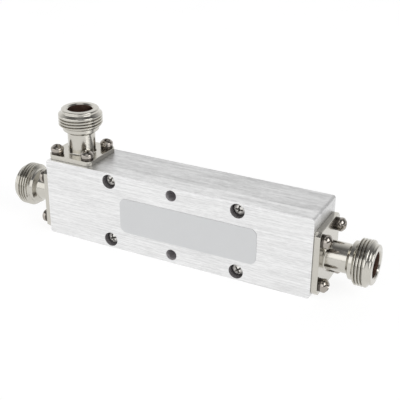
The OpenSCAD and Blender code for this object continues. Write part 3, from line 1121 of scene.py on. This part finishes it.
class COUPLER_OT_lock_washers(bpy.types.Operator):
    """Models the split lock washers under the flange screws"""

    bl_idname = "coupler.lock_washers"
    bl_label = "Lock Washers"

    def execute(self, context):
        s = context.scene.coupler_fasteners
        low, high = local_box("coupled_lock_washers", port_matrix("coupled"))
        thick = high.z - low.z
        washer = outline(
            [
                (s.washer_bore, 0), (s.washer_radius, 0),
                (s.washer_radius, thick), (s.washer_bore, thick),
            ],
            closed=True,
        )
        bpy.ops.mesh.spin(steps=44, angle=2 * math.pi - s.washer_gap, center=(0, 0, 0), axis=UP)
        close_and_point_out(washer)
        break_edges(washer, s.edge_break, sharp=50)
        for port in PORTS:
            matrix = port_matrix(port)
            seat = local_box(port + "_lock_washers", matrix)[0].z
            copies = [
                copy_to(washer, matrix @ Matrix.Translation(place + UP * seat))
                for place in flange_screw_places(port, s.head_radius)
            ]
            piece = join(copies)
            replaced = port + "_lock_washers"
            hand_over(piece, port + "_spring_washers", shared(spring_steel), "washer_steel", replaced)
        bpy.data.objects.remove(washer)
        return {"FINISHED"}


class COUPLER_OT_contacts(bpy.types.Operator):
    """Finishes the spring contacts and their insulators"""

    bl_idname = "coupler.contacts"
    bl_label = "Contacts and Insulators"

    def execute(self, context):
        finish_nodes(shared(gold_plate), *[port + "_contact" for port in PORTS])
        finish_nodes(shared(ptfe), *[port + "_insulator" for port in PORTS])
        return {"FINISHED"}


class COUPLER_OT_lines(bpy.types.Operator):
    """Finishes the line bars, their supports and the termination inside the body"""

    bl_idname = "coupler.lines"
    bl_label = "Lines and Termination"

    def execute(self, context):
        finish_nodes(shared(silver_plate), "main_line_bar", "coupled_line_bar", "load_flange", "load_tab")
        finish_nodes(shared(ptfe), "left_bar_support", "right_bar_support")
        finish_nodes(shared(alumina), "load_chip")
        finish_nodes(shared(plated_steel), "load_screws")
        return {"FINISHED"}


def softbox(name, place, width, height, radiance, aim=(0, 0, 0.02)):
    """A rectangular area light that looks at a point, the body's middle where none is given."""
    lamp = bpy.data.lights.new(name, "AREA")
    lamp.shape = "RECTANGLE"
    lamp.size, lamp.size_y = width, height
    lamp.energy = radiance * ENERGY_PER_RADIANCE * width * height
    light = bpy.data.objects.new(name, lamp)
    light.location = place
    light.rotation_euler = (Vector(aim) - Vector(place)).to_track_quat("-Z", "Y").to_euler()
    light.visible_camera = False
    bpy.context.scene.collection.objects.link(light)


def studio_world():
    """A dark room with a pale wall at the back left, and white where the camera looks past the floor."""
    wall_direction = (-0.52, 0.72, -0.3)
    room_light, wall_light, seen_light = 0.2, 1.28, 1.0
    world = bpy.data.worlds.new("studio")
    world.use_nodes = True
    tree = world.node_tree
    tree.nodes.clear()
    direction = add_node(tree, "ShaderNodeTexCoord").outputs["Generated"]
    toward_wall = add_node(
        tree, "ShaderNodeVectorMath", {0: direction, 1: wall_direction}, operation="DOT_PRODUCT"
    )
    wall = add_node(
        tree, "ShaderNodeMapRange",
        {
            "Value": toward_wall.outputs["Value"], "From Min": -0.1, "From Max": 0.6,
            "To Min": room_light, "To Max": wall_light,
        },
    )
    seen = add_node(tree, "ShaderNodeLightPath").outputs["Is Camera Ray"]
    strength = add_node(
        tree, "ShaderNodeMix", {"Factor": seen, "A": wall.outputs["Result"], "B": seen_light},
        data_type="FLOAT",
    )
    background = add_node(tree, "ShaderNodeBackground", {"Strength": strength.outputs[0]})
    add_node(tree, "ShaderNodeOutputWorld", {"Surface": background.outputs["Background"]})
    bpy.context.scene.world = world


class COUPLER_OT_stage(bpy.types.Operator):
    """Sets the pale floor, the soft studio light and the camera"""

    bl_idname = "coupler.stage"
    bl_label = "Stage"

    def execute(self, context):
        s = context.scene.coupler_stage
        start_fresh()
        below = 0.02 * MM
        bpy.ops.mesh.primitive_plane_add(size=8, location=(0, 0, -below))
        floor = bpy.context.object
        floor.name = "floor"
        floor.data.materials.append(shared(lit_acrylic))
        studio_world()
        softbox("front_left_softbox", (-0.485, -1.09, 0.48), width=2.3, height=0.9, radiance=0.95)
        output_neck = (0.05, 0, 0.02)
        softbox("strip_softbox", (-0.24, -1.0, 0.6), width=0.4, height=0.85, radiance=0.2, aim=output_neck)
        softbox("overhead_softbox", (0.25, -0.5, 1.15), width=0.8, height=0.7, radiance=0.5)
        softbox("right_softbox", (1.13, -0.2, 0.8), width=0.93, height=0.8, radiance=2.4)
        self.place_camera(context, s)
        context.scene.view_settings.view_transform = "Standard"
        return {"FINISHED"}

    def place_camera(self, context, s):
        """A camera with the photograph's place, angle and lens."""
        ahead = Vector((
            math.sin(s.yaw) * math.cos(s.pitch), math.cos(s.yaw) * math.cos(s.pitch), -math.sin(s.pitch)
        ))
        level = Vector((math.cos(s.yaw), -math.sin(s.yaw), 0))
        turn = Matrix((level, level.cross(ahead), -ahead)).transposed().to_4x4()
        camera = bpy.data.objects.new("camera", bpy.data.cameras.new("camera"))
        camera.data.lens = s.lens
        camera.data.clip_start = 10 * MM
        camera.matrix_world = Matrix.Translation(s.place) @ turn @ Matrix.Rotation(s.roll, 4, "Z")
        context.scene.collection.objects.link(camera)
        context.scene.camera = camera


OPERATORS = (
    COUPLER_OT_rear_housing,
    COUPLER_OT_front_cover,
    COUPLER_OT_label,
    COUPLER_OT_sockets,
    COUPLER_OT_flange_screws,
    COUPLER_OT_cover_screws,
    COUPLER_OT_lock_washers,
    COUPLER_OT_contacts,
    COUPLER_OT_lines,
    COUPLER_OT_stage,
)

SETTINGS = {
    "coupler_body": CouplerBodySettings,
    "coupler_label": CouplerLabelSettings,
    "coupler_socket": CouplerSocketSettings,
    "coupler_fasteners": CouplerFastenerSettings,
    "coupler_line": CouplerLineSettings,
    "coupler_stage": CouplerStageSettings,
}


class COUPLER_PT_sidebar(bpy.types.Panel):
    """Lists the coupler's pieces and their settings"""

    bl_idname = "COUPLER_PT_sidebar"
    bl_label = "Directional Coupler"
    bl_space_type = "VIEW_3D"
    bl_region_type = "UI"
    bl_category = "Coupler"

    def draw(self, context):
        for operator in OPERATORS:
            self.layout.operator(operator.bl_idname)
        for name, group in SETTINGS.items():
            box = self.layout.box()
            for key in group.__annotations__:
                box.prop(getattr(context.scene, name), key)


def register():
    for group in SETTINGS.values():
        bpy.utils.register_class(group)
    for name, group in SETTINGS.items():
        setattr(bpy.types.Scene, name, PointerProperty(type=group))
    for operator in OPERATORS:
        bpy.utils.register_class(operator)
    bpy.utils.register_class(COUPLER_PT_sidebar)


def unregister():
    bpy.utils.unregister_class(COUPLER_PT_sidebar)
    for operator in reversed(OPERATORS):
        bpy.utils.unregister_class(operator)
    for name, group in SETTINGS.items():
        delattr(bpy.types.Scene, name)
        bpy.utils.unregister_class(group)


def main():
    """Registers the classes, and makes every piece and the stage."""
    register()
    bpy.ops.coupler.rear_housing()
    bpy.ops.coupler.front_cover()
    bpy.ops.coupler.label()
    bpy.ops.coupler.sockets()
    bpy.ops.coupler.flange_screws()
    bpy.ops.coupler.cover_screws()
    bpy.ops.coupler.lock_washers()
    bpy.ops.coupler.contacts()
    bpy.ops.coupler.lines()
    bpy.ops.coupler.stage()


if __name__ == "__main__":
    main()
